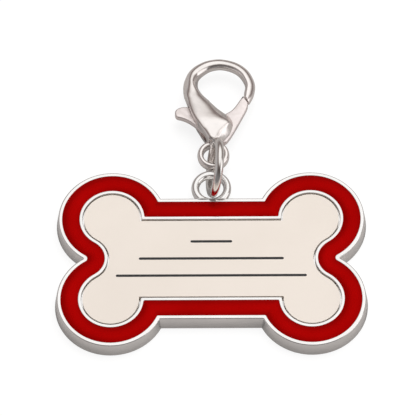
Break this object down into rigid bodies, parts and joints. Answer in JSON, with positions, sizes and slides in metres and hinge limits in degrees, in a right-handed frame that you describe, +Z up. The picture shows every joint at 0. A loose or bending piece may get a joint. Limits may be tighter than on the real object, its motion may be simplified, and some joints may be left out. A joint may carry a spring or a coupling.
{
  "type": "pet id tag",
  "caption": "Bone-shaped metal pet id tag with a red enamel border and an ivory name plate, on a jump ring and a lobster-claw clasp.",
  "frame": {"origin": "centre of the tag's flat back face, on the table that the tag lies on", "axes": "+X to the right as the plate is read, +Y from the tag towards the clasp, +Z up out of the enamelled face"},
  "size_m": [0.05, 0.0541, 0.0097],
  "materials": {
    "plated_casting": "zinc casting, polished and nickel plated, with satin cast sides",
    "enamel": "glossy soft enamel with a slight crown, standing a little proud at its middle",
    "plate_lacquer": "ivory lacquer on thin metal, smooth satin",
    "adhesive": "clear adhesive film",
    "rule_paint": "black paint wiped into the engraving",
    "ring_wire": "nickel-plated steel wire",
    "clasp_casting": "zinc casting, tumbled smooth and nickel plated",
    "lever_casting": "zinc casting with flat satin faces, nickel plated",
    "pin_steel": "steel pin, its end polished flush",
    "spring_steel": "bright spring wire"
  },
  "bodies": {
    "tag": {"tag_body": "plated_casting", "red_enamel": "enamel", "name_plate": "plate_lacquer", "plate_adhesive": "adhesive", "rule_fill": "rule_paint"},
    "ring": {"jump_ring": "ring_wire"},
    "clasp": {"clasp_body": "clasp_casting", "lever_pin": "pin_steel", "lever_spring": "spring_steel"},
    "lever": {"clasp_lever": "lever_casting"}
  },
  "joints": [
    {"name": "ring_turn", "type": "hinge", "parent": "tag", "child": "ring", "pos_m": [0, 0.0132, 0.00217], "axis": [0, 0, 1], "range_deg": [-45, 45]},
    {"name": "clasp_fold", "type": "hinge", "parent": "ring", "child": "clasp", "pos_m": [0.0006, 0.0156, 0.00487], "axis": [0.9816, 0, -0.1908], "range_deg": [0, 180]},
    {"name": "lever_open", "type": "hinge", "parent": "clasp", "child": "lever", "pos_m": [0.00075, 0.02355, 0.0027], "axis": [0, 0, 1], "range_deg": [0, 28], "stiffness_Nm_per_rad": 0.004, "springref_deg": -20.05, "deforming": ["lever_spring"]}
  ]
}
